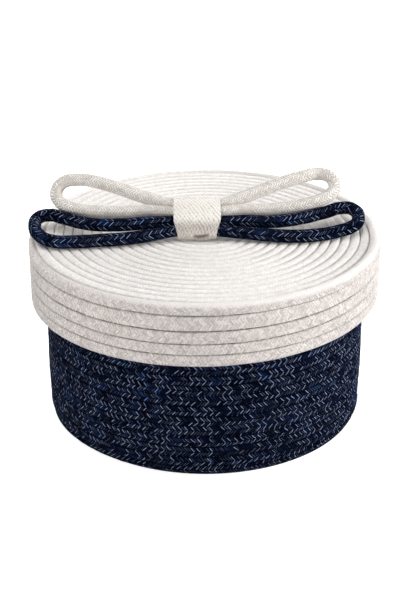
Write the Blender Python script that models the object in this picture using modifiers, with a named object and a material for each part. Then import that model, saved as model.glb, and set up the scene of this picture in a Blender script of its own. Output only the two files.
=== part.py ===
"""Lidded knitting basket sewn up from cotton rope, in metres, +Z up.

One navy rope is wound flat for the floor, turned up at the edge and wound on to the rim. One cream rope
makes the lid the same way: wound flat for the top, then bent down and wound on as a skirt that slips over
the rim. A bow of one navy and one cream ring of rope, pinched by a cream tape band, is sewn on the lid.
"""

import math

import bmesh
import bpy
import numpy as np
from mathutils import Vector

# Basket
RIM_RADIUS = 0.1368  # outside of the wall at the rim
FOOT_TAPER = 0.0023  # how much closer in the wall is where it leaves the floor
BASKET_HEIGHT = 0.1545
BASKET_BEND = 0.005  # bend of the rope's centre line from the floor into the wall
NAVY_PITCH = 0.0093  # from one turn to the next; the wall's is trimmed to whole turns

# Lid
LID_FIT = 0.0035  # room between the wall and the skirt, all round
LID_SEAT = 0.0003  # from the rim to the underside of the lid
LID_BEND = 0.005
SKIRT_DEPTH = 0.058  # from the lid's top face down to the end of the rope, its lowest place
TOP_PITCH = 0.00795
SKIRT_PITCH = 0.0105  # trimmed to whole turns like the wall's

# Rope as it is sewn
TURN_GAP = 0.0005  # between neighbouring turns
JOINT_GAP = 0.0003  # where the rope runs on from one piece into the next
LOOP_POINTS = 16  # corners of one turn
COARSE_RADIUS = 0.040  # turns smaller than this have half as many corners
EYE_TURN = 0.5  # the spiral starts this far from the middle, in turns
EYE_RUN = 0.375  # length of the straight start of the rope, in turns
FLAT_SHARE = math.cos(math.radians(30))  # a six-sided rope is this much thinner across its flats

# Bow
BOW_ROPE = 0.0108  # diameter
BOW_PLACE = -0.0064  # the band's middle, to the left of the lid's middle
BOW_DEPTH = -0.0045  # the middle of the four strands, in front of the lid's middle
STRAND_GAP = 0.0003  # between strands inside the band, and from them to the band
BUTT_GAP = 0.0006  # between the two ends of one ring, hidden in the band
BAND_SLOPE = math.radians(22)  # the four strands climb to the back at this angle
BAND_TAPE = 0.0020  # thickness of the tape
BAND_TOP_WIDTH = 0.038
BAND_FOOT_WIDTH = 0.0315
BAND_ARC_STEPS = 8
NAVY_REACH_LEFT = 0.1354  # from the band's middle to the tip's centre line
NAVY_REACH_RIGHT = 0.1361
CREAM_REACH_LEFT = 0.1200
CREAM_REACH_RIGHT = 0.1170
BOW_SWEEP = 0.025  # what the sweep shares below are shares of
BOW_RISE = 0.030  # and the rise shares

# Each loop from its lower strand round the tip to its upper strand. The columns are the strand (-1 lower,
# 0 tip, 1 upper), how far out, how far to the back from that strand's line in the band, and how far above
# a rope that lies on the lid.
NAVY_LEFT_SHARES = (
    (-1, 0.29, -0.24, 0.03), (-1, 0.50, -0.54, 0.00), (-1, 0.74, -0.74, 0.00), (-1, 0.91, -0.61, 0.02),
    (0, 1.00, 0.10, 0.10), (1, 0.935, 0.57, 0.18), (1, 0.82, 0.27, 0.20), (1, 0.63, -0.15, 0.19),
    (1, 0.29, -0.15, 0.20),
)
NAVY_RIGHT_SHARES = (
    (-1, 0.29, 0.02, 0.03), (-1, 0.50, -0.21, 0.00), (-1, 0.72, -0.15, 0.00), (-1, 0.90, 0.29, 0.02),
    (0, 1.00, 0.81, 0.10), (1, 0.95, 1.21, 0.19), (1, 0.80, 0.80, 0.22), (1, 0.60, 0.27, 0.19),
    (1, 0.29, 0.07, 0.20),
)
CREAM_LEFT_SHARES = (
    (-1, 0.33, 0.23, 0.32), (-1, 0.60, 0.16, 0.31), (-1, 0.80, 0.22, 0.35), (-1, 0.95, 0.49, 0.48),
    (0, 1.00, 0.72, 0.66), (1, 0.95, 0.77, 0.86), (1, 0.80, 0.69, 0.95), (1, 0.60, 0.37, 0.86),
    (1, 0.35, 0.11, 0.66),
)
CREAM_RIGHT_SHARES = (
    (-1, 0.31, 0.36, 0.32), (-1, 0.55, 0.33, 0.34), (-1, 0.76, 0.43, 0.44), (-1, 0.94, 0.77, 0.60),
    (0, 1.00, 1.06, 0.77), (1, 0.96, 1.13, 0.93), (1, 0.84, 1.13, 1.00), (1, 0.62, 0.71, 0.89),
    (1, 0.31, 0.21, 0.62),
)

BACK = math.radians(90)
FULL_TURN = math.radians(360)
QUARTER_TURN = math.radians(90)


def new_material(name, colour, roughness):
    material = bpy.data.materials.new(name)
    material.use_nodes = True
    shader = material.node_tree.nodes["Principled BSDF"]
    shader.inputs["Base Color"].default_value = (*colour, 1)
    shader.inputs["Roughness"].default_value = roughness
    shader.inputs["Metallic"].default_value = 0
    material.diffuse_color = (*colour, 1)
    return material


class Coil:
    """One rope wound flat from the middle outwards, bent over at the edge and wound on along the side.

    The section through the turns is a flat run, a quarter bend and a straight side. The rope moves along
    it by one pitch in each turn. The bend and the side hold whole turns, so the rope turns up or down at
    the back and ends there.
    """

    def __init__(self, edge, bend, side, side_run, lean, flat_pitch, side_pitch, hand):
        self.flat = edge - bend
        self.bend = bend
        self.side = side
        self.lean = lean
        self.flat_pitch = flat_pitch
        self.hand = hand
        self.bend_turn = self.flat / flat_pitch
        run = bend * QUARTER_TURN + side_run
        side_turns = max(round(run / side_pitch), 1)
        self.side_pitch = run / side_turns
        self.last_turn = self.bend_turn + side_turns

    def section(self, turn):
        """Radius, height and slope of the rope's centre line after this many turns."""
        if turn < self.bend_turn:
            return turn * self.flat_pitch, 0, 0
        run = (turn - self.bend_turn) * self.side_pitch
        if run < self.bend * QUARTER_TURN:
            slope = run / self.bend
            out = self.bend * math.sin(slope)
            rise = self.bend * (1 - math.cos(slope))
            return self.flat + out, self.side * rise, slope
        run -= self.bend * QUARTER_TURN
        return self.flat + self.bend + self.lean * run, self.side * (self.bend + run), QUARTER_TURN

    def place(self, turn):
        radius, height, _ = self.section(turn)
        angle = BACK + self.hand * FULL_TURN * (turn - self.last_turn)
        return Vector((radius * math.cos(angle), radius * math.sin(angle), height))

    def half_width(self, turn):
        """Half of the room that the neighbouring turns leave the rope."""
        here = self.place(turn)
        near = [other for other in (turn - 1, turn + 1) if EYE_TURN <= other <= self.last_turn]
        return (min((self.place(other) - here).length for other in near) - TURN_GAP) / 2

    def corners(self):
        """The turns, counted from the middle, at which the rope has a point."""
        steps = int((self.last_turn - EYE_TURN) * LOOP_POINTS)
        found = []
        for step in range(steps, -1, -1):
            turn = self.last_turn - step / LOOP_POINTS
            if step % 2 == 0 or self.section(turn)[0] > COARSE_RADIUS:
                found.append(turn)
        first = found[0]
        return [first] + [turn for turn in found if turn >= first + EYE_RUN]

    def pieces(self):
        """The rope's points before and after the bend, parted in the middle of a straight stretch."""
        corners = self.corners()
        before = [turn for turn in corners if turn < self.bend_turn + 0.5 / LOOP_POINTS]
        after = corners[len(before):]
        start, end = self.place(before[-1]), self.place(after[0])
        middle = (start + end) / 2
        part = (end - start).normalized() * JOINT_GAP / 2
        joint_turn = (before[-1] + after[0]) / 2
        flat = [(self.place(turn), turn) for turn in before] + [(middle - part, joint_turn)]
        side = [(middle + part, joint_turn)] + [(self.place(turn), turn) for turn in after]
        return flat, side

    def rope(self, name, points, lift, material, parent):
        """A six-sided tube through the points, its flats facing out of the coil."""
        curve = bpy.data.curves.new(name, "CURVE")
        curve.dimensions = "3D"
        curve.twist_mode = "Z_UP"
        curve.bevel_depth = (self.flat_pitch - TURN_GAP) / 2
        curve.bevel_resolution = 1
        curve.use_fill_caps = True
        spline = curve.splines.new("POLY")
        spline.points.add(len(points) - 1)
        for point, (place, turn) in zip(spline.points, points):
            point.co = (place.x, place.y, place.z + lift, 1)
            point.tilt = -self.side * self.hand * self.section(turn)[2]
            point.radius = self.half_width(turn) / curve.bevel_depth
        curve.materials.append(material)
        rope = bpy.data.objects.new(name, curve)
        rope.parent = parent
        collection.objects.link(rope)
        return rope


def report_gap(rope):
    """Prints the least distance between points of the tube that lie half a turn or more apart on it."""
    bpy.context.view_layer.update()
    evaluated = rope.evaluated_get(bpy.context.evaluated_depsgraph_get())
    mesh = evaluated.to_mesh()
    sides = 2 * rope.data.bevel_resolution + 4
    points = np.array([vertex.co for vertex in mesh.vertices])[2 * sides:]  # after the two caps
    evaluated.to_mesh_clear()
    count = len(points) // sides
    ring = np.repeat(np.arange(count), sides)
    least = math.inf
    for index in range(count):
        far = ring >= index + LOOP_POINTS // 4 + 1
        if far.any():
            own = points[ring == index]
            least = min(least, np.linalg.norm(points[far][:, None] - own[None], axis=2).min())
    print(f"{rope.name}: {count} points, least gap to itself {1000 * least:.2f} mm")


def strand(index):
    """Depth and height of the centre of one of the four strands in the band, above the lid's top face."""
    step = BOW_ROPE + STRAND_GAP
    front = BOW_DEPTH - 1.5 * step * math.cos(BAND_SLOPE)
    first = Vector((front, LID_SEAT + BAND_TAPE + STRAND_GAP + BOW_ROPE / 2))
    return first + Vector((math.cos(BAND_SLOPE), math.sin(BAND_SLOPE))) * step * index


def loop_places(shares, reach, way, low, high):
    """Points of one loop, from the lower strand round the tip to the upper one."""
    middle = (low + high) / 2
    half = (high - low) / 2
    lying = LID_SEAT + BOW_ROPE / 2
    places = []
    for side, out_share, sweep_share, rise_share in shares:
        depth = middle.x + side * half.x + sweep_share * BOW_SWEEP
        places.append(Vector((BOW_PLACE + way * out_share * reach, depth, lying + rise_share * BOW_RISE)))
    return places


def bow_ring(name, material, low, high, left, right, reach_left, reach_right):
    """A ring of rope pinched by the band, with its ends butted inside the band on the lower strand."""
    half_band = BAND_TOP_WIDTH / 2
    lower = [Vector((BOW_PLACE + x, low.x, low.y)) for x in (-half_band, half_band)]
    upper = [Vector((BOW_PLACE + x, high.x, high.y)) for x in (-half_band, half_band)]
    butt = Vector((BOW_PLACE, low.x, low.y))
    along = Vector((1, 0, 0))
    route = [(butt - along * BUTT_GAP / 2, -along), (lower[0], -along)]
    route += [(place, None) for place in loop_places(left, reach_left, -1, low, high)]
    route += [(upper[0], along), (upper[1], along)]
    route += [(place, None) for place in reversed(loop_places(right, reach_right, 1, low, high))]
    route += [(lower[1], -along), (butt + along * BUTT_GAP / 2, -along)]

    curve = bpy.data.curves.new(name, "CURVE")
    curve.dimensions = "3D"
    curve.resolution_u = 3
    curve.bevel_depth = BOW_ROPE / 2
    curve.bevel_resolution = 2
    curve.use_fill_caps = True
    spline = curve.splines.new("BEZIER")
    spline.bezier_points.add(len(route) - 1)
    for point, (place, heading) in zip(spline.bezier_points, route):
        point.co = place
        if heading is None:
            point.handle_left_type = point.handle_right_type = "AUTO"
        else:
            point.handle_left_type = point.handle_right_type = "FREE"
            point.handle_left = place - heading * BAND_FOOT_WIDTH / 6
            point.handle_right = place + heading * BAND_FOOT_WIDTH / 6
    curve.materials.append(material)
    ring = bpy.data.objects.new(name, curve)
    collection.objects.link(ring)
    return ring


def bow_band(name, material):
    """A tape wrapped once round the four strands, narrower at its foot."""
    inner = BOW_ROPE / 2 + STRAND_GAP
    foot = strand(0)
    crest = strand(3)
    shell = bmesh.new()
    outline = []
    for centre, start in ((foot, BAND_SLOPE + QUARTER_TURN), (crest, BAND_SLOPE - QUARTER_TURN)):
        for step in range(BAND_ARC_STEPS + 1):
            angle = start + step / BAND_ARC_STEPS * 2 * QUARTER_TURN
            outline.append(centre + Vector((math.cos(angle), math.sin(angle))) * inner)
    low = min(point.y for point in outline)
    high = max(point.y for point in outline)
    for way in (-1, 1):
        for point in outline:
            widening = (point.y - low) / (high - low)
            width = BAND_FOOT_WIDTH + (BAND_TOP_WIDTH - BAND_FOOT_WIDTH) * widening
            shell.verts.new((way * width / 2, point.x, point.y))
    shell.verts.ensure_lookup_table()
    count = len(outline)
    edges = [
        [shell.edges.new((shell.verts[at + side * count], shell.verts[(at + 1) % count + side * count]))
         for at in range(count)]
        for side in (0, 1)
    ]
    bmesh.ops.bridge_loops(shell, edges=edges[0] + edges[1])
    bmesh.ops.recalc_face_normals(shell, faces=shell.faces)
    mesh = bpy.data.meshes.new(name)
    shell.to_mesh(mesh)
    shell.free()
    mesh.shade_smooth()
    mesh.materials.append(material)
    band = bpy.data.objects.new(name, mesh)
    band.location.x = BOW_PLACE
    collection.objects.link(band)
    wall = band.modifiers.new("tape", "SOLIDIFY")
    wall.thickness = BAND_TAPE
    wall.offset = 1
    wall.use_even_offset = True
    return band


for old in list(bpy.data.objects):
    bpy.data.objects.remove(old, do_unlink=True)
collection = bpy.data.collections.new("Knitting basket")
bpy.context.scene.collection.children.link(collection)

navy = (0.012, 0.020, 0.050)
cream = (0.80, 0.77, 0.73)

# Basket: the navy rope runs to the left at the front, outwards and then up
navy_half = (NAVY_PITCH - TURN_GAP) / 2
navy_flat = navy_half * FLAT_SHARE
foot_line = RIM_RADIUS - FOOT_TAPER - navy_flat
wall_run = BASKET_HEIGHT - navy_flat - BASKET_BEND - navy_half
basket = Coil(
    edge=foot_line,
    bend=BASKET_BEND,
    side=1,
    side_run=wall_run,
    lean=FOOT_TAPER / wall_run,
    flat_pitch=NAVY_PITCH,
    side_pitch=NAVY_PITCH,
    hand=1,
)
floor_points, wall_points = basket.pieces()
floor = basket.rope("basket_floor", floor_points, navy_flat, new_material("navy floor rope", navy, 0.9), None)
wall = basket.rope("basket_wall", wall_points, navy_flat, new_material("navy wall rope", navy, 0.9), None)

# Lid: the cream rope, wound the other way. Everything on it hangs on one empty on the axis it lifts along
top_half = (TOP_PITCH - TURN_GAP) / 2
skirt_half = (SKIRT_PITCH - TURN_GAP) / 2
top_flat = top_half * FLAT_SHARE
lid_axis = bpy.data.objects.new("lid_axis", None)
lid_axis.location.z = BASKET_HEIGHT + LID_SEAT
collection.objects.link(lid_axis)
skirt_line = RIM_RADIUS + LID_FIT + skirt_half * FLAT_SHARE
lid = Coil(
    edge=skirt_line,
    bend=LID_BEND,
    side=-1,
    side_run=SKIRT_DEPTH - top_flat - LID_BEND - skirt_half,
    lean=0,
    flat_pitch=TOP_PITCH,
    side_pitch=SKIRT_PITCH,
    hand=-1,
)
top_points, skirt_points = lid.pieces()
top = lid.rope("lid_top", top_points, top_flat, new_material("cream top rope", cream, 0.9), lid_axis)
skirt = lid.rope("lid_skirt", skirt_points, top_flat, new_material("cream skirt rope", cream, 0.9), lid_axis)

# Bow: two navy strands in front and below, two cream ones behind and above
navy_ring = bow_ring(
    "bow_navy", new_material("navy bow rope", navy, 0.9), strand(0), strand(1),
    NAVY_LEFT_SHARES, NAVY_RIGHT_SHARES, NAVY_REACH_LEFT, NAVY_REACH_RIGHT,
)
cream_ring = bow_ring(
    "bow_cream", new_material("cream bow rope", cream, 0.9), strand(2), strand(3),
    CREAM_LEFT_SHARES, CREAM_RIGHT_SHARES, CREAM_REACH_LEFT, CREAM_REACH_RIGHT,
)
band = bow_band("bow_band", new_material("cream tape", cream, 0.9))
for piece in (navy_ring, cream_ring, band):
    piece.parent = lid_axis
    piece.location.z = 2 * top_flat

for rope in (floor, wall, top, skirt):
    report_gap(rope)
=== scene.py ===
"""Lidded knitting basket coiled and sewn from braided cotton rope, with a rope bow on its lid."""

import math

import bmesh
import bpy
import numpy as np
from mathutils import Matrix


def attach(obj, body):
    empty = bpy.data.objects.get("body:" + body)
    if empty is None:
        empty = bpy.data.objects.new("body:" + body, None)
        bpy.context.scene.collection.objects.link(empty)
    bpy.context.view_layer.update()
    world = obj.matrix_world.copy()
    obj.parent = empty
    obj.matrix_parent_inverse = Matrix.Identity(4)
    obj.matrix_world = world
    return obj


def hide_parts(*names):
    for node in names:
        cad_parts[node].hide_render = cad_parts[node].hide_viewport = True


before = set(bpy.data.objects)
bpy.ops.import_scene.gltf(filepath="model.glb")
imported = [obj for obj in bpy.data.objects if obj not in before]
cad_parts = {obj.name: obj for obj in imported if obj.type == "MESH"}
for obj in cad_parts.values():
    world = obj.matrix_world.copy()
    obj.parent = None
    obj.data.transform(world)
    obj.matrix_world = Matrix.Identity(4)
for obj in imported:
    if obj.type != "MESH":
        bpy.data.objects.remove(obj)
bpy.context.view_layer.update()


# Navy rope of the basket.
# One braided cotton cord, wound flat for the floor, turned up at the edge and wound on to the rim.
# Each turn is sewn to the last one, which presses the round cord into a section with flatter sides.

FLOOR_LIFT = 0.0042  # of the cord's middle above the ground
FOOT_LINE = 0.1302  # radius of the cord's middle in the wall's first turn
RIM_LINE = 0.1328  # and in its last turn
RIM_LINE_HEIGHT = 0.1500
NAVY_BEND = 0.0055  # radius of the turn-up at the edge
NAVY_PITCH = 0.0093  # from one turn of the floor to the next
WALL_TURNS = 16
NAVY_HALF_DEPTH = 0.0042
NAVY_SQUARENESS = (3.0, 9.0)  # of the floor's turns and of the wall's
TURN_OVERLAP = 0.0001
EYE_TURNS = 0.45  # that a coil lacks in its middle, where the cord can't bend so tightly
STEPS_PER_TURN = 240
BLUNT_END = (0.45, 0.75, 0.92, 1.0)  # sizes of the last rings, inwards from the cord's cut end
SIDE_RELIEF = 0.5  # of the stitches at the cord's sides, where the next turns press on them
WELD = 1e-6


class Braid:
    """How a cord is braided: columns of slanting stitches round it, each leaning against the next
    one. The strand is the length of a stitch, and each of its rings has a crest's height."""

    def __init__(self, columns, per_column, strand, crests, groove, lean, uneven):
        self.columns = columns
        self.per_column = per_column
        self.crests = crests
        self.groove = groove
        self.lean = lean
        self.uneven = uneven
        self.step = strand / len(crests)
        self.around = columns * per_column


class Cord:
    """A cord's middle line at even steps, with its outward direction, half sizes and the like at
    each. It has one squareness towards the last turn and one towards the next turn. Pressed is 1
    where the next turn is sewn to it."""

    def __init__(self, line, outs, half_width, half_depth, roll, squareness, pressed=0.0):
        self.line = line
        self.tangents = unit(np.gradient(line, axis=0))
        self.outs = unit(outs - self.tangents * (outs * self.tangents).sum(1, keepdims=True))
        self.half_width = half_width
        self.half_depth = half_depth
        self.roll = roll
        self.squareness = np.broadcast_to(squareness, (2, len(line)))
        self.pressed = np.broadcast_to(pressed, len(line))


def unit(vectors):
    return vectors / np.linalg.norm(vectors, axis=-1, keepdims=True)


def lengths_along(line):
    """How far each point of the line is from its start."""
    steps = np.linalg.norm(np.diff(line, axis=0), axis=1)
    return np.concatenate(([0], np.cumsum(steps)))


def slow_roll(count, step, swing, lengths, seed):
    """The braid's slow turning about the cord, in radians, that lets its columns wander."""
    rng = np.random.default_rng(seed)
    along = np.arange(count) * step
    waves = [np.sin(math.tau * (along / length + rng.random())) for length in lengths]
    return swing * sum(waves) / len(lengths)


def woven_points(cord, braid, seed):
    """Places of all points of the woven tube. Its rings follow the zigzag of the stitches."""
    rings = len(cord.line)
    place = np.arange(braid.around + 1) / braid.per_column
    zigzag = 2 * np.abs(place % 2 - 1) - 1
    inside = 1 - (2 * np.abs(place % 1 - 0.5)) ** 2
    angle = math.tau * place[None, :] / braid.columns + cord.roll[:, None]
    before, after = cord.squareness
    square = np.where(np.sin(angle) > 0, before[:, None], after[:, None])
    reach = (np.abs(np.cos(angle)) ** square + np.abs(np.sin(angle)) ** square) ** (-1 / square)
    out_part = np.cos(angle) * reach
    side_part = np.sin(angle) * reach

    rng = np.random.default_rng(seed)
    crest = np.array(braid.crests)[np.arange(rings) % len(braid.crests)]
    strand = np.arange(rings) // len(braid.crests)
    column = place.astype(int) % braid.columns
    lifts = rng.normal(0, braid.uneven, (strand[-1] + 1, braid.columns))[strand][:, column]
    relief = (crest[:, None] + lifts) * inside[None, :] - braid.groove * (1 - inside[None, :])

    from_end = np.minimum(np.arange(rings), np.arange(rings)[::-1])
    close = np.interp(from_end, np.arange(len(BLUNT_END)), BLUNT_END)[:, None]
    depth = (cord.half_depth[:, None] + relief) * close
    width = (cord.half_width[:, None] + relief * SIDE_RELIEF) * close
    column_width = math.pi * (cord.half_width + cord.half_depth) / braid.columns
    shift = zigzag[None, :] * (braid.lean / 2 * column_width)[:, None]
    sides = np.cross(cord.tangents, cord.outs)
    return (
        cord.line[:, None] + cord.tangents[:, None] * shift[..., None]
        + cord.outs[:, None] * (out_part * depth)[..., None]
        + sides[:, None] * (side_part * width)[..., None]
    )


def object_from(name, shape):
    """The finished bmesh as an object at the origin."""
    mesh = bpy.data.meshes.new(name)
    shape.to_mesh(mesh)
    shape.free()
    piece = bpy.data.objects.new(name, mesh)
    bpy.context.collection.objects.link(piece)
    return piece


def weave_tube(name, cord, points, braid, first, last):
    """The rings from first to last as a closed tube. One UV map follows the braid. The other one
    says how the tube lies: metres along it, and the share of a turn from its outward side."""
    rings = last - first + 1
    sleeve = bmesh.new()
    sleeve.loops.layers.uv.new("braid")
    pressed = sleeve.verts.layers.float.new("pressed")
    bmesh.ops.create_grid(
        sleeve, x_segments=rings - 1, y_segments=braid.around, size=1, calc_uvs=True)
    grid = np.array([vert.co[:2] for vert in sleeve.verts])
    ring_of = first + np.round((grid[:, 0] + 1) / 2 * (rings - 1)).astype(int)
    place_of = np.round((grid[:, 1] + 1) / 2 * braid.around).astype(int)
    for vert, ring, place in zip(sleeve.verts, ring_of, place_of):
        vert.co = points[ring, place]
        vert[pressed] = cord.pressed[ring]
    seam = [vert for vert, place in zip(sleeve.verts, place_of) if place in (0, braid.around)]
    bmesh.ops.remove_doubles(sleeve, verts=seam, dist=WELD)
    ends = [edge for edge in sleeve.edges if edge.is_boundary]
    bmesh.ops.holes_fill(sleeve, edges=ends, sides=0)
    bmesh.ops.recalc_face_normals(sleeve, faces=sleeve.faces)
    tube = object_from(name, sleeve)
    mesh = tube.data
    mesh.shade_smooth()

    braid_uv = np.empty(2 * len(mesh.loops), np.float32)
    mesh.uv_layers["braid"].uv.foreach_get("vector", braid_uv)
    along, around = braid_uv.reshape(-1, 2).T
    ring = first + np.round(along * (rings - 1)).astype(int)
    maps = {
        "braid": (ring / len(braid.crests), around * braid.columns),
        "lie": (ring * braid.step, around + cord.roll[ring] / math.tau),
    }
    mesh.uv_layers.new(name="lie")
    for layer, parts in maps.items():
        flat = np.stack(parts, 1).astype(np.float32).ravel()
        mesh.uv_layers[layer].uv.foreach_set("vector", flat)
    return tube


def coil_places(section, turns, hand):
    radius, height, slope = section(turns)
    angle = math.pi / 2 + hand * math.tau * turns
    heading = np.stack((np.cos(angle), np.sin(angle)), 1)
    return np.column_stack((heading * radius[:, None], height)), heading, slope


def coil_line(section, first_turn, last_turn, hand, step):
    """Places and outward directions of a cord wound round the Z axis, and the turn at each."""
    fine = np.linspace(first_turn, last_turn, int((last_turn - first_turn) * STEPS_PER_TURN))
    length = lengths_along(coil_places(section, fine, hand)[0])
    turns = np.interp(np.arange(0, length[-1], step), length, fine)
    line, heading, slope = coil_places(section, turns, hand)
    outs = np.column_stack((heading * np.sin(slope)[:, None], -hand * np.cos(slope)))
    return line, outs, turns


def feed(tree, socket, value):
    """A number or a colour is set on the socket, and the output of another node is linked to it."""
    if isinstance(value, (int, float, tuple)):
        socket.default_value = value
    else:
        tree.links.new(value, socket)


def math_node(tree, operation, *inputs, clamp=False):
    node = tree.nodes.new("ShaderNodeMath")
    node.operation = operation
    node.use_clamp = clamp
    for socket, value in zip(node.inputs, inputs):
        feed(tree, socket, value)
    return node.outputs[0]


def product(tree, value, *factors):
    for factor in factors:
        value = math_node(tree, "MULTIPLY", value, factor)
    return value


def opposite(tree, share):
    return math_node(tree, "SUBTRACT", 1.0, share)


def ranged(tree, share, at_none, at_full):
    """The value that goes evenly from one number to another while the share goes from 0 to 1."""
    return math_node(tree, "MULTIPLY_ADD", share, at_full - at_none, at_none)


def distance(tree, first, second):
    return math_node(tree, "ABSOLUTE", math_node(tree, "SUBTRACT", first, second))


def from_middle(tree, place):
    """How far a place is from the middle of its cell, 0 to 0.5."""
    return distance(tree, math_node(tree, "FRACT", place), 0.5)


def smooth_step(tree, value, low, high):
    node = tree.nodes.new("ShaderNodeMapRange")
    node.interpolation_type = "SMOOTHSTEP"
    for name, given in (("Value", value), ("From Min", low), ("From Max", high)):
        feed(tree, node.inputs[name], given)
    return node.outputs["Result"]


def mix_colour(tree, share, first, second):
    node = tree.nodes.new("ShaderNodeMix")
    node.data_type = "RGBA"
    for index, value in ((0, share), (6, first), (7, second)):  # its sockets for colours
        feed(tree, node.inputs[index], value)
    return node.outputs[2]


def vector_of(tree, *parts):
    node = tree.nodes.new("ShaderNodeCombineXYZ")
    for socket, value in zip(node.inputs, parts):
        feed(tree, socket, value)
    return node.outputs[0]


def parts_of(tree, vector):
    node = tree.nodes.new("ShaderNodeSeparateXYZ")
    tree.links.new(vector, node.inputs[0])
    return node.outputs


def uv_parts(tree, name):
    node = tree.nodes.new("ShaderNodeUVMap")
    node.uv_map = name
    return parts_of(tree, node.outputs[0])


def attribute(tree, name):
    node = tree.nodes.new("ShaderNodeAttribute")
    node.attribute_name = name
    return node.outputs["Fac"]


def noise(tree, place, scale, detail, dimensions="3D"):
    node = tree.nodes.new("ShaderNodeTexNoise")
    node.noise_dimensions = dimensions
    node.inputs["Scale"].default_value = scale
    node.inputs["Detail"].default_value = detail
    tree.links.new(place, node.inputs["W" if dimensions == "1D" else "Vector"])
    return node.outputs["Fac"]


def random_values(tree, x, y, draw):
    """Three random values for each cell of x and y. Each draw gives other ones."""
    node = tree.nodes.new("ShaderNodeTexWhiteNoise")
    cell = vector_of(tree, math_node(tree, "FLOOR", x), math_node(tree, "FLOOR", y), draw)
    tree.links.new(cell, node.inputs["Vector"])
    return parts_of(tree, node.outputs["Color"])


def new_material(name):
    material = bpy.data.materials.new(name)
    material.use_nodes = True
    return material, material.node_tree, material.node_tree.nodes["Principled BSDF"]


def add_bump(tree, shader, height, depth):
    bump = tree.nodes.new("ShaderNodeBump")
    bump.inputs["Strength"].default_value = 0.9
    bump.inputs["Distance"].default_value = depth
    tree.links.new(height, bump.inputs["Height"])
    tree.links.new(bump.outputs["Normal"], shader.inputs["Normal"])


# The yarns of a braid. Widths are shares of a yarn, a stitch or a column, from its middle, so that
# 0.5 is its edge.
STITCH_DRAW, YARN_DRAW, ENDS_DRAW = 3.0, 7.0, 13.0  # which random values each takes
THREAD_PLACE = (0.32, 0.68)  # of the pale thread across its yarn, at random between the two
THREAD_LEAN = (-0.35, 0.35)
THREAD_EDGE = (0.04, 0.15)  # where it is whole and where it is gone, from its own middle
THREAD_LATEST = 0.20  # of a stitch's length, from either end, where it comes up at the latest
THREAD_FADE = 0.06
THREAD_STRENGTH = (0.05, 1.0)  # random values between which it grows from none to full
SECOND_THREAD = 0.15  # strength of the thread on the second yarn of each stitch
LOOSE_SIDE = (0.14, 0.20)  # where a loose cord's side begins, in turns from its outward side
SIDE_THREAD = 0.4  # strength of the threads there
VALLEY_EDGE = 0.30
STITCH_EDGE = 0.36
SEAM_PLACE = 0.75  # of the sewing and the groove's painted shade, in turns from the cord's outward side
SEAM_EDGE = (0.126, 0.140)
DASHES = 260.0  # of the sewing, to a metre of cord
DASH_EDGE = (0.20, 0.52)
WISP_STRETCH = (4.0, 1.5, 40.0)  # of the fibres across a yarn, along it and from yarn to yarn
VALLEY_HEIGHT = 0.45  # left of the yarns' height in the valleys between them
BETWEEN_HEIGHT = 0.55  # and between the stitches
GROOVE_HEIGHT = 0.65  # and between the columns
WISP_HEIGHT = 0.30  # of the single fibres on a yarn
THREAD_HEIGHT = 0.15


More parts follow.
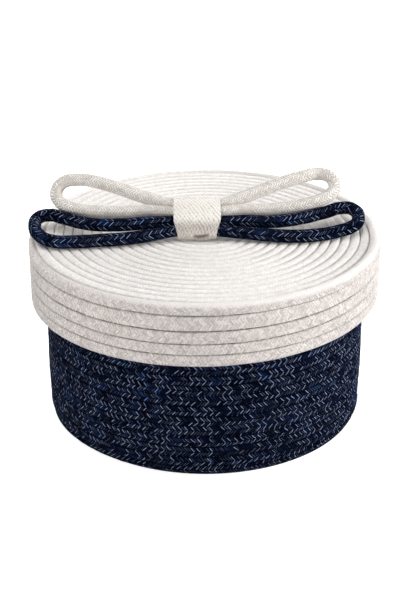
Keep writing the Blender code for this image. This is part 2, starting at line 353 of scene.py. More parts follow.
def braid_group():
    """Turns the two UV maps of a woven tube into its yarns: masks, random values and a height."""
    group = bpy.data.node_groups.new("braided yarn", "ShaderNodeTree")
    group.interface.new_socket("Yarns", in_out="INPUT", socket_type="NodeSocketFloat")
    given = group.nodes.new("NodeGroupInput")
    strand, column, _ = uv_parts(group, "braid")
    along, turned, _ = uv_parts(group, "lie")
    pressed = attribute(group, "pressed")
    yarn_place = product(group, strand, given.outputs["Yarns"])
    stitch = random_values(group, strand, column, STITCH_DRAW)
    yarn = random_values(group, yarn_place, column, YARN_DRAW)
    ends = random_values(group, yarn_place, column, ENDS_DRAW)

    # one pale thread on each yarn, a little askew, which comes up at one place and dives at another
    across = math_node(group, "FRACT", column)
    askew = product(group, math_node(group, "SUBTRACT", across, 0.5),
                    ranged(group, yarn[1], *THREAD_LEAN))
    middle = math_node(group, "ADD", askew, ranged(group, yarn[0], *THREAD_PLACE))
    off_thread = distance(group, math_node(group, "FRACT", yarn_place), middle)
    thread = opposite(group, smooth_step(group, off_thread, *THREAD_EDGE))
    for from_end, draw in ((across, ends[0]), (opposite(group, across), ends[1])):
        start = product(group, draw, THREAD_LATEST)
        whole = math_node(group, "ADD", start, THREAD_FADE)
        thread = product(group, thread, smooth_step(group, from_end, start, whole))

    from_outside = from_middle(group, math_node(group, "ADD", turned, 0.5))
    loose_side = product(
        group, smooth_step(group, from_outside, *LOOSE_SIDE), opposite(group, pressed))
    second = math_node(group, "MODULO", math_node(group, "FLOOR", yarn_place), 2.0)
    shown_thread = product(
        group, thread, ranged(group, loose_side, 1.0, SIDE_THREAD),
        smooth_step(group, ends[2], *THREAD_STRENGTH), ranged(group, second, 1.0, SECOND_THREAD))

    valley = smooth_step(group, from_middle(group, yarn_place), VALLEY_EDGE, 0.5)
    between = smooth_step(group, from_middle(group, strand), STITCH_EDGE, 0.5)
    groove = smooth_step(group, from_middle(group, column), STITCH_EDGE, 0.5)
    wisp_place = vector_of(group, *(
        product(group, part, stretch)
        for part, stretch in zip((yarn_place, column, yarn[1]), WISP_STRETCH)))
    wisp = noise(group, wisp_place, scale=1.0, detail=2.0)

    # along the groove where the next turn lies: the sewing's dashes, which also carry the groove's
    # painted shade
    beside = distance(group, math_node(group, "FRACT", turned), SEAM_PLACE)
    dash = noise(group, along, DASHES, detail=1.0, dimensions="1D")
    seam = product(group, opposite(group, smooth_step(group, beside, *SEAM_EDGE)), pressed,
                   smooth_step(group, dash, *DASH_EDGE))

    height = product(
        group, ranged(group, valley, 1.0, VALLEY_HEIGHT),
        ranged(group, between, 1.0, BETWEEN_HEIGHT), ranged(group, groove, 1.0, GROOVE_HEIGHT))
    height = math_node(group, "MULTIPLY_ADD", wisp, WISP_HEIGHT, height)
    height = math_node(group, "MULTIPLY_ADD", thread, THREAD_HEIGHT, height)

    results = {
        "Stitch": stitch[0], "Yarn": yarn[2], "Thread": shown_thread, "Valley": valley,
        "Between": between, "Groove": groove, "Seam": seam, "Wisp": wisp, "Height": height,
    }
    for name in results:
        group.interface.new_socket(name, in_out="OUTPUT", socket_type="NodeSocketFloat")
    result = group.nodes.new("NodeGroupOutput")
    for name, value in results.items():
        group.links.new(value, result.inputs[name])
    return group


BRAIDED = braid_group()

PATCH_SCALE = 38.0  # of the clouds in which stitches of the third colour gather
PATCH_EDGE = (0.48, 0.68)
PATCH_STITCHES = (0.45, 1.0)  # random values of the stitches that take the patch's colour
SPECK_SCALE = 1100.0
STITCH_TONE = 0.35  # share of a stitch in its yarns' tone, and the rest is each yarn's own
WISP_TONE = 0.9  # what the single fibres add to it or take off
# share of the painted top light in the colour, where it is whole
TOP_LIGHT_SHARE = 0.8
THREAD_WISP = (0.55, 1.25)  # strength of a thread from its thinnest to its thickest wisp
VALLEY_DARK = 0.8  # strength of the painted shade between two yarns of one stitch
LIT_VALLEY_SHADE = 0.6  # what the painted top light leaves of the painted shade in the valleys
ROPE_ROUGHNESS = (0.75, 0.95)


def rope_material(name, yarns, valley_shade, plain, thread, thread_share, valley_share, groove_share, seam,
                  seam_shade_share, bump_height, sheen, specular, grain=0.0, painted_top_light=None):
    """Braided cotton: yarns between two plain colours, a third in patches, pale threads, and sunken
    valleys painted with shade. Grain is the strength of the fine specks. Painted top light is a
    paler colour painted where light falls on the rope's top, and the heights between which it lies."""
    material, tree, shader = new_material(name)
    braided = tree.nodes.new("ShaderNodeGroup")
    braided.node_tree = BRAIDED
    braided.inputs["Yarns"].default_value = yarns
    out = braided.outputs
    place = tree.nodes.new("ShaderNodeTexCoord").outputs["Object"]
    cloud = noise(tree, place, PATCH_SCALE, detail=3.0)
    speck = math_node(tree, "SUBTRACT", noise(tree, place, SPECK_SCALE, detail=2.0), 0.5)
    wisp = math_node(tree, "SUBTRACT", out["Wisp"], 0.5)

    tone = product(tree, out["Yarn"], 1 - STITCH_TONE)
    tone = math_node(tree, "MULTIPLY_ADD", out["Stitch"], STITCH_TONE, tone)
    tone = math_node(tree, "MULTIPLY_ADD", speck, grain, tone)
    tone = math_node(tree, "MULTIPLY_ADD", wisp, WISP_TONE, tone, clamp=True)
    colour = mix_colour(tree, tone, plain[0], plain[1])
    patchy = product(tree, smooth_step(tree, cloud, *PATCH_EDGE),
                     smooth_step(tree, out["Stitch"], *PATCH_STITCHES))
    colour = mix_colour(tree, patchy, colour, plain[2])
    # painted light: between two heights the rope's top is painted paler, where light falls on it
    wear_and_top_light = 0.0
    if painted_top_light:
        pale, lowest, highest = painted_top_light
        wear_and_top_light = smooth_step(tree, parts_of(tree, place)[2], lowest, highest)
        colour = mix_colour(tree, product(tree, wear_and_top_light, TOP_LIGHT_SHARE), colour, pale)

    lit = product(tree, out["Thread"], ranged(tree, out["Wisp"], *THREAD_WISP))
    lit = math_node(tree, "MULTIPLY", lit, thread_share, clamp=True)
    colour = mix_colour(tree, lit, colour, mix_colour(tree, patchy, thread[0], thread[1]))
    # painted shade in the valleys between yarns, between stitches and between columns
    low = math_node(tree, "MAXIMUM", product(tree, out["Valley"], VALLEY_DARK), out["Between"])
    low = math_node(tree, "MAXIMUM", product(tree, low, valley_share),
                    product(tree, out["Groove"], groove_share))
    low = product(tree, low, ranged(tree, wear_and_top_light, 1.0, LIT_VALLEY_SHADE))
    colour = mix_colour(tree, low, colour, valley_shade)
    # the sewing's dashes, dark also with the painted shade of the groove beside the next turn
    colour = mix_colour(tree, product(tree, out["Seam"], seam_shade_share), colour, seam)
    tree.links.new(colour, shader.inputs["Base Color"])

    tree.links.new(ranged(tree, out["Wisp"], *ROPE_ROUGHNESS), shader.inputs["Roughness"])
    shader.inputs["Sheen Weight"].default_value = sheen
    shader.inputs["Sheen Roughness"].default_value = 0.6
    shader.inputs["Specular IOR Level"].default_value = specular
    add_bump(tree, shader, out["Height"], bump_height)
    return material


NAVY_BRAID = Braid(
    columns=8, per_column=2, strand=0.0048, crests=(-0.00020, 0.00010, -0.00004, 0.00010),
    groove=0.00010, lean=1.15, uneven=0.00006)
navy = rope_material(
    "navy cotton braid", yarns=2.0, valley_shade=(0.0006, 0.0010, 0.0030, 1),
    plain=((0.0005, 0.0010, 0.004, 1), (0.0018, 0.0045, 0.018, 1), (0.006, 0.017, 0.055, 1)),
    thread=((0.285, 0.345, 0.52, 1), (0.15, 0.27, 0.55, 1)), thread_share=2.0,
    valley_share=0.95, groove_share=0.45, seam=(0.0006, 0.0010, 0.0030, 1), seam_shade_share=0.2,
    bump_height=0.0006, sheen=0.0, specular=0.01)

WALL_RUN = NAVY_BEND * math.pi / 2 + RIM_LINE_HEIGHT - FLOOR_LIFT - NAVY_BEND
WALL_PITCH = WALL_RUN / WALL_TURNS
WALL_LEAN = (RIM_LINE - FOOT_LINE) / (RIM_LINE_HEIGHT - FLOOR_LIFT - NAVY_BEND)
WANDER_RISE = 0.02  # height over which the wall's turns begin to wander
WANDER_OUT = (0.00035, 2.13)  # how far, and in how many waves a turn
WANDER_UP = (0.00030, 1.37)
FLOOR_TURNS = (FOOT_LINE - NAVY_BEND) / NAVY_PITCH - EYE_TURNS
CURL_TURNS = 0.7  # of the cord's end, wound tight and thin, so that the floor's middle is closed
CURL_PULL = 0.6  # of the pitch that each of them lies further out than an even coil
CURL_SQUEEZE = 0.38  # of the pitch that each of them is thinner, on each side


def curled(turns):
    """How many turns inside the even coil, in the tight curl, the cord is."""
    return np.maximum(-FLOOR_TURNS - turns, 0)


def basket_section(turns):
    """Radius, height and slope of the cord. Turn 0 is at the back, where the floor turns up."""
    run = np.maximum(turns, 0) * WALL_PITCH
    slope = np.clip(run / NAVY_BEND, 0, math.pi / 2)
    up = np.maximum(run - NAVY_BEND * math.pi / 2, 0)
    radius = FOOT_LINE - NAVY_BEND + np.minimum(turns, 0) * NAVY_PITCH
    radius = radius + NAVY_BEND * np.sin(slope) + WALL_LEAN * up
    radius = radius + curled(turns) * CURL_PULL * NAVY_PITCH
    height = FLOOR_LIFT + NAVY_BEND * (1 - np.cos(slope)) + up
    wander = np.clip(up / WANDER_RISE, 0, 1)
    swing, waves = WANDER_OUT
    radius = radius + wander * swing * np.sin(math.tau * turns * waves + 1.0)
    swing, waves = WANDER_UP
    height = height + wander * swing * np.sin(math.tau * turns * waves)
    return radius, height, slope


def sewn_to_next(turns, last):
    """1 where the next turn is sewn to the cord, and 0 along its last turn."""
    return np.interp(turns, (last - 1.2, last - 1), (1.0, 0.0))


def coil_pieces(cord, turns, braid, seed, body, pieces):
    """One long cord as several pieces that share their end rings, so that each stays light."""
    points = woven_points(cord, braid, seed)
    edges = [int(np.searchsorted(turns, start)) for _, _, start, _ in pieces] + [len(turns) - 1]
    for (name, node, _, material), first, last in zip(pieces, edges, edges[1:]):
        tube = weave_tube(name, cord, points, braid, first, last)
        tube.data.materials.append(material)
        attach(tube, body)
        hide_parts(node)


line, outs, turns = coil_line(
    basket_section, -FLOOR_TURNS - CURL_TURNS, WALL_TURNS, hand=1, step=NAVY_BRAID.step)
half_pitch = np.where(turns < 0, NAVY_PITCH, WALL_PITCH) / 2
basket_cord = Cord(
    line, outs,
    half_width=half_pitch + TURN_OVERLAP - curled(turns) * CURL_SQUEEZE * NAVY_PITCH,
    half_depth=np.full(len(line), NAVY_HALF_DEPTH),
    roll=slow_roll(len(line), NAVY_BRAID.step, swing=0.20, lengths=(0.9, 1.7, 2.9), seed=11),
    squareness=np.interp(turns, (-1, 0.5), NAVY_SQUARENESS),
    pressed=sewn_to_next(turns, WALL_TURNS),
)
coil_pieces(basket_cord, turns, NAVY_BRAID, seed=12, body="basket", pieces=(
    # name, node, turn at which it starts, material
    ("basket_floor_rope", "basket_floor", -FLOOR_TURNS - CURL_TURNS, navy),
    ("basket_wall_rope_lower", "basket_wall", 0, navy),
    ("basket_wall_rope_upper", "basket_wall", WALL_TURNS / 2, navy),
))


# Cream rope of the lid.
# A finer braid in undyed cotton, wound flat from the middle, then sewn downwards as a skirt that
# slips over the rim. The rows of the skirt are pressed flat and are not all of one height.

TOP_PITCH = 0.00797
TOP_EDGE = 0.1409
EDGE_TURN = -0.15  # where the rope starts to lean over, in turns from the back
TOP_SQUARENESS = 2.9
EDGE_SQUARENESS = 2.3  # on the upper side of the lid's rounded edge
SKIRT_SQUARENESS = 6.0
RADIUS, HEIGHT, HALF_HEIGHT, HALF_DEPTH, SLOPE = 1, 2, 3, 4, 5
LID_ROWS = np.array((
    # turn, radius, height, half height of the row, half its depth, slope in degrees
    (-0.15, 0.1397, 0.1579, 0.0040, 0.0036, 0),
    (0.0, 0.1412, 0.1578, 0.0042, 0.0040, 45),
    (0.15, 0.1427, 0.1576, 0.0046, 0.0043, 85),
    (0.25, 0.14335, 0.1575, 0.0048, 0.0044, 90),
    (0.5, 0.1447, 0.1570, 0.0049, 0.0040, 90),
    (1.0, 0.1446, 0.15105, 0.0059, 0.0038, 90),
    (1.5, 0.1445, 0.1451, 0.0068, 0.0037, 90),
    (2.5, 0.1443, 0.13275, 0.0055, 0.0038, 90),
    (3.5, 0.1441, 0.1226, 0.0048, 0.0040, 90),
    (4.5, 0.1440, 0.1131, 0.0048, 0.0040, 90),
    (5.0, 0.1440, 0.1086, 0.0046, 0.0039, 90),
))
LAST_ROW = LID_ROWS[-1][0]
SKIRT_CLIMB = 0.008  # of the skirt's rows to the right, in metres for each metre
CLIMB_TURNS = 0.6  # over which they begin to climb

CREAM_BRAID = Braid(
    columns=12, per_column=2, strand=0.0024, crests=(-0.00009, 0.00007),
    groove=0.00004, lean=1.0, uneven=0.00005)
CREAM_LOOK = dict(
    thread=((0.95, 0.925, 0.905, 1), (0.95, 0.925, 0.905, 1)), thread_share=0.9,
    groove_share=0.10, seam=(0.05, 0.036, 0.03, 1), sheen=0.1, specular=0.2)
cream_top = rope_material(
    "cream cotton braid, flat", yarns=1.0, valley_shade=(0.60, 0.56, 0.53, 1),
    plain=((0.72, 0.685, 0.66, 1), (0.90, 0.87, 0.845, 1), (0.84, 0.80, 0.775, 1)),
    valley_share=0.6, bump_height=0.0005, seam_shade_share=0.06, grain=1.2, **CREAM_LOOK)
# a darker, shaded copy of the top's cream braid for the skirt's standing rows: more painted shade
# in its valleys and along its seams, and painted light on the corner row's top
cream_side_shaded = rope_material(
    "cream cotton braid, standing, shaded", yarns=2.0, valley_shade=(0.24, 0.20, 0.18, 1),
    plain=((0.50, 0.445, 0.42, 1), (0.97, 0.915, 0.88, 1), (0.78, 0.725, 0.69, 1)),
    valley_share=1.0, bump_height=0.0006, seam_shade_share=1.0, grain=2.2,
    # painted light on the corner row's top, between these two heights
    painted_top_light=((0.98, 0.945, 0.92, 1), 0.1572, 0.1614), **CREAM_LOOK)
cream_free = rope_material(
    "cream cotton braid, free", yarns=1.0, valley_shade=(0.22, 0.185, 0.155, 1),
    plain=((0.58, 0.54, 0.495, 1), (0.88, 0.84, 0.795, 1), (0.74, 0.695, 0.65, 1)),
    valley_share=1.0, bump_height=0.0008, seam_shade_share=0.0, grain=1.4, **CREAM_LOOK)


def lid_row(turns, column):
    """One measure of the lid's rows, between the turns that the table gives."""
    return np.interp(turns, LID_ROWS[:, 0], LID_ROWS[:, column])


def lid_section(turns):
    """Radius, height and slope of the cord. Turn 0 is at the back, where the top turns down."""
    flat = TOP_EDGE + turns * TOP_PITCH
    radius = np.where(turns < EDGE_TURN, flat, lid_row(turns, RADIUS))
    return radius, lid_row(turns, HEIGHT), np.radians(lid_row(turns, SLOPE))


TOP_TURNS = TOP_EDGE / TOP_PITCH - EYE_TURNS
OUTER_SHARE = 0.3  # of the top's turns, in the outer one of its two pieces

line, outs, turns = coil_line(
    lid_section, -TOP_TURNS, LAST_ROW, hand=-1, step=CREAM_BRAID.step)
line[:, 2] += SKIRT_CLIMB * np.clip(turns / CLIMB_TURNS, 0, 1) * line[:, 0]
half_pitch = np.where(turns < EDGE_TURN, TOP_PITCH / 2, lid_row(turns, HALF_HEIGHT))
lid_cord = Cord(
    line, outs,
    half_width=half_pitch + TURN_OVERLAP,
    half_depth=lid_row(turns, HALF_DEPTH),
    roll=slow_roll(len(line), CREAM_BRAID.step, swing=1.4, lengths=(0.4, 0.9, 1.7), seed=21),
    squareness=(
        np.interp(turns, (EDGE_TURN, 0.2, 0.9, 1.2),
                  (TOP_SQUARENESS, EDGE_SQUARENESS, EDGE_SQUARENESS, SKIRT_SQUARENESS)),
        np.interp(turns, (EDGE_TURN, 0.2), (TOP_SQUARENESS, SKIRT_SQUARENESS)),
    ),
    pressed=sewn_to_next(turns, LAST_ROW),
)
coil_pieces(lid_cord, turns, CREAM_BRAID, seed=22, body="lid", pieces=(
    ("lid_top_rope_inner", "lid_top", -TOP_TURNS, cream_top),
    ("lid_top_rope_outer", "lid_top", -OUTER_SHARE * TOP_TURNS, cream_top),
    ("lid_skirt_rope", "lid_skirt", 0, cream_side_shaded),
))


# Bow.
# Two rings of rope, navy in front and below, cream behind and above, pinched together by the tape
# band and sewn to the lid's top.

LID_TOP = 0.1616
BAND_MIDDLE = -0.0064
BAND_REACH = 0.016
MM = 0.001
# Places of the ropes' middle lines in mm: out to the right from the lid's middle, to the back, and
# above the lid's top. The strands are those in the band, from the front.
STRANDS = ((-19.9, 7.7), (-9.6, 11.8), (1.0, 15.5), (9.8, 18.8))
NAVY_LEFT = (
    (-45, -26, 6.2), (-67, -32, 5.6), (-86, -35, 5.5), (-107, -38, 5.5), (-126, -37, 5.8),
    (-136, -29, 6.8), (-142, -12, 8.5), (-139, 3, 10.5), (-131, 5, 11.5), (-117, -3, 11.5),
    (-97, -13, 11), (-72, -15, 11), (-46, -11, 11.3),
)
NAVY_RIGHT = (
    (34, -21, 6.2), (53, -24, 5.6), (71, -26, 5.5), (92, -24, 5.5), (111, -16, 5.6),
    (124, -8, 6.8), (130, 5.5, 8.5), (126, 19.5, 11), (117, 20, 12), (102, 10, 12),
    (80, -1, 11), (55, -8, 11), (34, -8, 11.3),
)
CREAM_LEFT = (
    (-46, 6, 15), (-63, 5, 14.5), (-83, 5, 14.5), (-97, 5, 15), (-112, 7, 17), (-122, 13, 20),
    (-126, 23, 25), (-121, 30, 31), (-108, 29.5, 34), (-93, 25, 34), (-76, 20, 31), (-50, 14, 24),
)
CREAM_RIGHT = (
    (30, 7, 15), (47, 7.5, 15), (64, 9, 16), (81, 11, 18), (98, 16, 21), (107, 22, 24),
    (111, 32, 28), (107.5, 38, 33), (97, 41, 35), (86, 36, 35), (67, 29, 32), (47, 21.5, 27),
    (30, 16, 22.5),
)
BUTT = 0.3  # mm from the band's middle to each end of the ring's rope
BOW_FRONT = (0, -0.95, 0.30)  # the side that each ring shows, with one row of stitches along it
BOW_RADIUS = 0.0055
PINCHED_RADIUS = 0.0049
PINCHED = (1.2, 2.6)  # where the pinch begins to open and where it is open, in reaches of the band
CURVE_STEPS = 24

NAVY_BOW_BRAID = Braid(
    columns=8, per_column=4, strand=0.0048,
    crests=(-0.00024, 0.00004, 0.00016, 0.00002, 0.00002, 0.00016, 0.00004),
    groove=0.00014, lean=1.15, uneven=0.00008)
CREAM_BOW_BRAID = Braid(
    columns=12, per_column=3, strand=0.0024, crests=(-0.00016, 0.00010, 0.00010),
    groove=0.00008, lean=1.0, uneven=0.00005)


def resampled(points, length, at):
    """What the points would be at other lengths along their line."""
    return np.stack([np.interp(at, length, column) for column in points.T], 1)


def smooth_line(places, step):
    """Evenly spaced points on a smooth curve through the places."""
    curve = bpy.data.curves.new("route", "CURVE")
    curve.dimensions = "3D"
    curve.resolution_u = CURVE_STEPS
    spline = curve.splines.new("BEZIER")
    spline.bezier_points.add(len(places) - 1)
    for point, place in zip(spline.bezier_points, places):
        point.co = place
        point.handle_left_type = point.handle_right_type = "AUTO"
    route = bpy.data.objects.new("route", curve)
    bpy.context.collection.objects.link(route)
    bpy.context.view_layer.update()
    mesh = route.evaluated_get(bpy.context.evaluated_depsgraph_get()).to_mesh()
    points = np.array([vertex.co[:] for vertex in mesh.vertices])
    bpy.data.objects.remove(route)
    bpy.data.curves.remove(curve)
    length = lengths_along(points)
    return resampled(points, length, np.arange(0, length[-1], step))


def bow_ring(name, node, low, high, left, right, braid, material, seed):
    middle = BAND_MIDDLE / MM
    reach = BAND_REACH / MM
    route = [(middle - BUTT, *low), (middle - reach, *low), *left, (middle - reach, *high)]
    route += [(middle + reach, *high), *reversed(right), (middle + reach, *low)]
    route += [(middle + BUTT, *low)]
    line = smooth_line([(x * MM, y * MM, LID_TOP + z * MM) for x, y, z in route], braid.step)
    away = np.abs(line[:, 0] - BAND_MIDDLE)
    opening = [reaches * BAND_REACH for reaches in PINCHED]
    radius = np.interp(away, opening, (PINCHED_RADIUS, BOW_RADIUS))
    roll = slow_roll(len(line), braid.step, swing=0.22, lengths=(0.11, 0.19, 0.43), seed=seed)
    roll += math.pi / braid.columns * (1 + unit(np.gradient(line, axis=0))[:, 0])
    outs = np.broadcast_to(BOW_FRONT, line.shape)
    cord = Cord(line, outs, radius, radius, roll, squareness=2.0)
    rope = weave_tube(name, cord, woven_points(cord, braid, seed), braid, 0, len(line) - 1)
    rope.data.materials.append(material)
    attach(rope, "lid")
    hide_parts(node)


bow_ring("bow_navy_ring", "bow_navy", STRANDS[0], STRANDS[1], NAVY_LEFT, NAVY_RIGHT,
         NAVY_BOW_BRAID, navy, seed=31)
bow_ring("bow_cream_ring", "bow_cream", STRANDS[2], STRANDS[3], CREAM_LEFT, CREAM_RIGHT,
         CREAM_BOW_BRAID, cream_free, seed=32)


# Tape band of the bow.
# A flat braided cotton tape, wrapped once round the four strands and tucked under at the front,
# where it is gathered a little narrower.

TAPE_TOP_WIDTH = 0.0390
TAPE_FOOT_WIDTH = 0.0320
GATHERED = 0.18  # share of the band's height up to which it has the foot's width
WIDENING = 0.50  # share of its height over which it widens
TAPE_THICKNESS = 0.0014
TAPE_CROWN = 0.0012
TAPE_SWELL = 0.0030
TAPE_STEPS = 56
TAPE_ROUND_STEPS = 220
HALF_ROUND_STEPS = 40
OVER_STEPS = 24
EDGE_WAVE = 0.006  # share of the width
RIPPLE = 0.00022
TUCK_ANGLE = math.radians(190)  # round the front strand, from the back: where it is gathered
TUCK_DEPTH = 0.0020
TUCK_PLACE = 0.22  # of its middle across the tape, where the tape's half width is 1
TUCK_REACH = 0.48  # to each side of its middle
TUCK_WAVE = 0.16
TUCK = (0.0, 0.24)  # radians past the tuck's angle, and radians that it is wide
LIP = (0.60, 0.25)
LIP_RISE = 0.6  # share of the tuck's depth
TUCK_SHADE = (0.20, 0.28)


def tape_outline():
    """The tape's path round the four strands, evenly spaced, with its angle about the nearest end
    strand. It swells over the strands on the upper side."""
    low = np.array(STRANDS[0]) * MM
    high = np.array(STRANDS[3]) * MM
    run = high - low
    slope = math.atan2(run[1], run[0])
    outline = []
    for centre, start in ((low, slope + math.pi / 2), (high, slope - math.pi / 2)):
        for angle in np.linspace(start, start + math.pi, HALF_ROUND_STEPS):
            heading = np.array((math.cos(angle), math.sin(angle)))
            outline.append((*(centre + PINCHED_RADIUS * heading), angle))
    last, first = np.array(outline[-1][:2]), np.array(outline[0][:2])
    square = np.array((-math.sin(slope), math.cos(slope)))
    for share in np.linspace(0, 1, OVER_STEPS)[1:]:
        swell = square * TAPE_SWELL * math.sin(math.pi * share)
        outline.append((*(last + (first - last) * share + swell), slope + math.pi / 2))
    outline = np.array(outline)
    length = lengths_along(outline[:, :2])
    even = np.linspace(0, length[-1], TAPE_ROUND_STEPS + 1)
    return resampled(outline, length, even), (low + high) / 2


def bell(place, middle, width):
    return math.exp(-((place - middle) / width) ** 2)


def tape_band(name):
    """The tape with soft waves in its edges and its face, and a tuck with a lip below it."""
    ring, centre = tape_outline()
    heights = (ring[:, 1] - ring[:, 1].min()) / np.ptp(ring[:, 1])
    wrap = bmesh.new()
    wrap.loops.layers.uv.new("tape")
    painted_tuck_shade = wrap.verts.layers.float.new("painted_tuck_shade")
    bmesh.ops.create_grid(
        wrap, x_segments=TAPE_STEPS, y_segments=TAPE_ROUND_STEPS, size=1, calc_uvs=True)
    for vert in wrap.verts:
        index = round((vert.co.y + 1) / 2 * TAPE_ROUND_STEPS)
        across = vert.co.x
        height = heights[index]
        wave = EDGE_WAVE * math.sin(9 * height + 2 * across)
        spread = min(max((height - GATHERED) / WIDENING, 0), 1)
        spread = spread * spread * (3 - 2 * spread)
        width = (TAPE_FOOT_WIDTH + (TAPE_TOP_WIDTH - TAPE_FOOT_WIDTH) * spread) * (1 + wave)
        out = ring[index, :2] - centre
        out = out / np.linalg.norm(out)
        crown = TAPE_CROWN * (1 - abs(across) ** 3)
        ripple = RIPPLE * math.sin(6 * across + 11 * height + 1) * (1.1 - height)
        past = ring[index, 2] - TUCK_ANGLE - TUCK_WAVE * math.sin(5 * across + 1)
        reach = 0
        if index < TAPE_ROUND_STEPS / 2:
            reach = max(1 - abs((across - TUCK_PLACE) / TUCK_REACH) ** 3, 0)
        tuck = reach * bell(past, *TUCK)
        lip = reach * bell(past, *LIP)
        lift = crown + ripple - TUCK_DEPTH * tuck + LIP_RISE * TUCK_DEPTH * lip
        place = ring[index, :2] + out * lift
        vert.co = (BAND_MIDDLE + across * width / 2, place[0], LID_TOP + place[1])
        # where the painted shade in the tuck's crease lies
        vert[painted_tuck_shade] = reach * bell(past, *TUCK_SHADE)
    bmesh.ops.remove_doubles(wrap, verts=wrap.verts, dist=WELD)
    bmesh.ops.recalc_face_normals(wrap, faces=wrap.faces)
    band = object_from(name, wrap)
    band.data.shade_smooth()
    wall = band.modifiers.new("tape", "SOLIDIFY")
    wall.thickness = TAPE_THICKNESS
    wall.offset = 1
    return band


RIDGES_ACROSS = 12.0
RIDGES = (
    # way of the slant, ridges round the band, width of their valleys
    ("SUBTRACT", 19.0, 0.36),
    ("ADD", 24.0, 0.32),
)
WAVER = (140.0, 1.1)  # scale and strength of what bends the ridges
FLECK_SCALE = 1100.0
FLECK_HEIGHT = 0.25
WEAR_SCALE = 620.0
WEAR_EDGE = (0.40, 0.58)
STEEP_WEAR = (0.1, 1.0)  # strength of the steep ridges from unworn to worn
CROSSING_WEAR = (1.0, 0.4)
CROSSING_RISE = (0.95, 0.40)  # strength of the crossing ridges from the band's foot to its top
DEPTH_RISE = (0.55, 0.85)  # strength of both at the foot and top, and half way up
TAPE_FIBRE = ((0.46, 0.42, 0.38, 1), (0.70, 0.655, 0.61, 1))
TAPE_SHADE = (0.04, 0.035, 0.03, 1)  # in a thin veil half way up
SHADE_SHARE = 0.22
TAPE_TOP_LIGHT = (0.74, 0.705, 0.66, 1)  # painted light on the band's top, where light falls from above
TOP_LIGHT_POWER = 4.0
# painted shade in the valleys between the ridges
TAPE_DEEP = (0.18, 0.155, 0.13, 1)
# painted shade in the crease of the tuck
TUCK_DEEP = (0.15, 0.125, 0.10, 1)
TUCK_DARK = 1.2


def tape_material():
    """Braided flat tape: steep ridges running down to the right, crossed by finer, weaker ones."""
    material, tree, shader = new_material("cream flat tape")
    along, around, _ = uv_parts(tree, "tape")
    place = tree.nodes.new("ShaderNodeTexCoord").outputs["Object"]
    waver = noise(tree, place, WAVER[0], detail=2.0)
    fleck = noise(tree, place, FLECK_SCALE, detail=2.0)
    wear_and_top_light = smooth_step(tree, noise(tree, place, WEAR_SCALE, detail=2.0), *WEAR_EDGE)
    bottom, top = (LID_TOP + STRANDS[strand][1] * MM for strand in (0, 3))
    upper = smooth_step(tree, parts_of(tree, place)[2], bottom, top)
    half_way = product(tree, upper, ranged(tree, upper, 4.0, 0.0))  # 1 there, 0 at foot and top

    valleys = []
    for slanting, count, width in RIDGES:
        across = product(tree, along, RIDGES_ACROSS)
        across = math_node(tree, "MULTIPLY_ADD", waver, WAVER[1], across)
        slant = math_node(tree, slanting, across, product(tree, around, count))
        valleys.append(smooth_step(tree, from_middle(tree, slant), 0.5 - width, 0.5))
    steep = product(tree, valleys[0], ranged(tree, wear_and_top_light, *STEEP_WEAR))
    crossing = product(tree, valleys[1], ranged(tree, upper, *CROSSING_RISE),
                       ranged(tree, wear_and_top_light, *CROSSING_WEAR))
    low = math_node(tree, "MAXIMUM", steep, crossing)
    low = product(tree, low, ranged(tree, half_way, *DEPTH_RISE))

    fibre = mix_colour(tree, fleck, *TAPE_FIBRE)
    fibre = mix_colour(tree, product(tree, half_way, SHADE_SHARE), fibre, TAPE_SHADE)
    # painted light, paler towards the band's top
    painted_top_light = math_node(tree, "POWER", upper, TOP_LIGHT_POWER)
    fibre = mix_colour(tree, painted_top_light, fibre, TAPE_TOP_LIGHT)
    # painted shade in the ridges' valleys, stronger half way up
    colour = mix_colour(tree, low, fibre, TAPE_DEEP)
    # painted shade in the tuck's crease
    painted_tuck_shade = math_node(tree, "MULTIPLY", attribute(tree, "painted_tuck_shade"), TUCK_DARK, clamp=True)
    colour = mix_colour(tree, painted_tuck_shade, colour, TUCK_DEEP)
    tree.links.new(colour, shader.inputs["Base Color"])
    shader.inputs["Roughness"].default_value = 0.85
    shader.inputs["Specular IOR Level"].default_value = 0.2
    shader.inputs["Sheen Weight"].default_value = 0.1
    height = math_node(tree, "MULTIPLY_ADD", fleck, FLECK_HEIGHT, opposite(tree, low))
    add_bump(tree, shader, height, depth=0.0006)
    return material


band = tape_band("bow_tape_band")
band.data.materials.append(tape_material())
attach(band, "lid")
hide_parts("bow_band")


# Stage.
# A pale floor under soft studio lamps, and the photograph's camera.

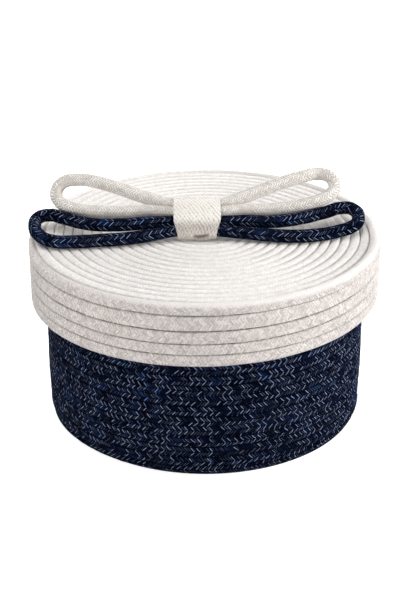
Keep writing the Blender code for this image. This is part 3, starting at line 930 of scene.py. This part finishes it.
CAMERA_PLACE = (-0.0035, -1.2737, 0.6984)
CAMERA_TILT = math.radians(64.68)
CAMERA_LENS = 97.97
SENSOR_WIDTH = 36
FLOOR_SIZE = 12.0
FLOOR_GREY = (0.6, 0.6, 0.6, 1)
FLOOR_GLOW = 0.86  # for the eye only, so that the floor shows white and keeps the shadow
WORLD_LIGHT = 0.11  # of the white world that reaches the basket
WHITE = (1, 1, 1, 1)
LAMP_AIM = (0, 0, 0.1)
LAMPS = (
    # name, place, size, power
    ("top lamp", (-0.30, 0.25, 1.55), 0.6, 10.5),
    ("upper lamp", (-0.40, -0.60, 1.45), 0.6, 5.5),
    ("front lamp", (-0.9, -1.7, 0.36), 1.0, 25.5),
    ("side lamp", (1.8, -0.15, 0.60), 0.8, 44),
    ("back lamp", (-0.5, 1.8, 0.60), 0.8, 32),
)

camera = bpy.data.objects.new("camera", bpy.data.cameras.new("camera"))
camera.location = CAMERA_PLACE
camera.rotation_euler = (CAMERA_TILT, 0, 0)
camera.data.lens = CAMERA_LENS
camera.data.sensor_width = SENSOR_WIDTH
bpy.context.collection.objects.link(camera)
bpy.context.scene.camera = camera


def only_seen(tree, unlit, seen):
    """One number for the light on the object, and another for what the camera and mirrors see."""
    path = tree.nodes.new("ShaderNodeLightPath")
    share = math_node(tree, "ADD", path.outputs["Is Camera Ray"], path.outputs["Is Glossy Ray"])
    share = math_node(tree, "ADD", share, path.outputs["Is Transmission Ray"], clamp=True)
    return ranged(tree, share, unlit, seen)


floor_shape = bmesh.new()
bmesh.ops.create_grid(floor_shape, x_segments=1, y_segments=1, size=FLOOR_SIZE / 2)
studio_floor = object_from("studio_floor", floor_shape)
pale, tree, shader = new_material("pale floor")
shader.inputs["Base Color"].default_value = FLOOR_GREY
shader.inputs["Roughness"].default_value = 0.9
shader.inputs["Emission Color"].default_value = WHITE
tree.links.new(only_seen(tree, 0.0, FLOOR_GLOW), shader.inputs["Emission Strength"])
studio_floor.data.materials.append(pale)

world = bpy.data.worlds.new("studio")
bpy.context.scene.world = world
world.use_nodes = True
tree = world.node_tree
background = tree.nodes["Background"]
background.inputs["Color"].default_value = WHITE
tree.links.new(only_seen(tree, WORLD_LIGHT, 1.0), background.inputs["Strength"])

for name, place, size, power in LAMPS:
    lamp = bpy.data.objects.new(name, bpy.data.lights.new(name, "AREA"))
    lamp.data.size = size
    lamp.data.energy = power
    lamp.location = place
    x, y, z = np.array(LAMP_AIM) - np.array(place)
    lamp.rotation_euler = (math.atan2(math.hypot(x, y), -z), 0, math.atan2(-x, y))
    bpy.context.collection.objects.link(lamp)

bpy.context.scene.view_settings.view_transform = "Standard"
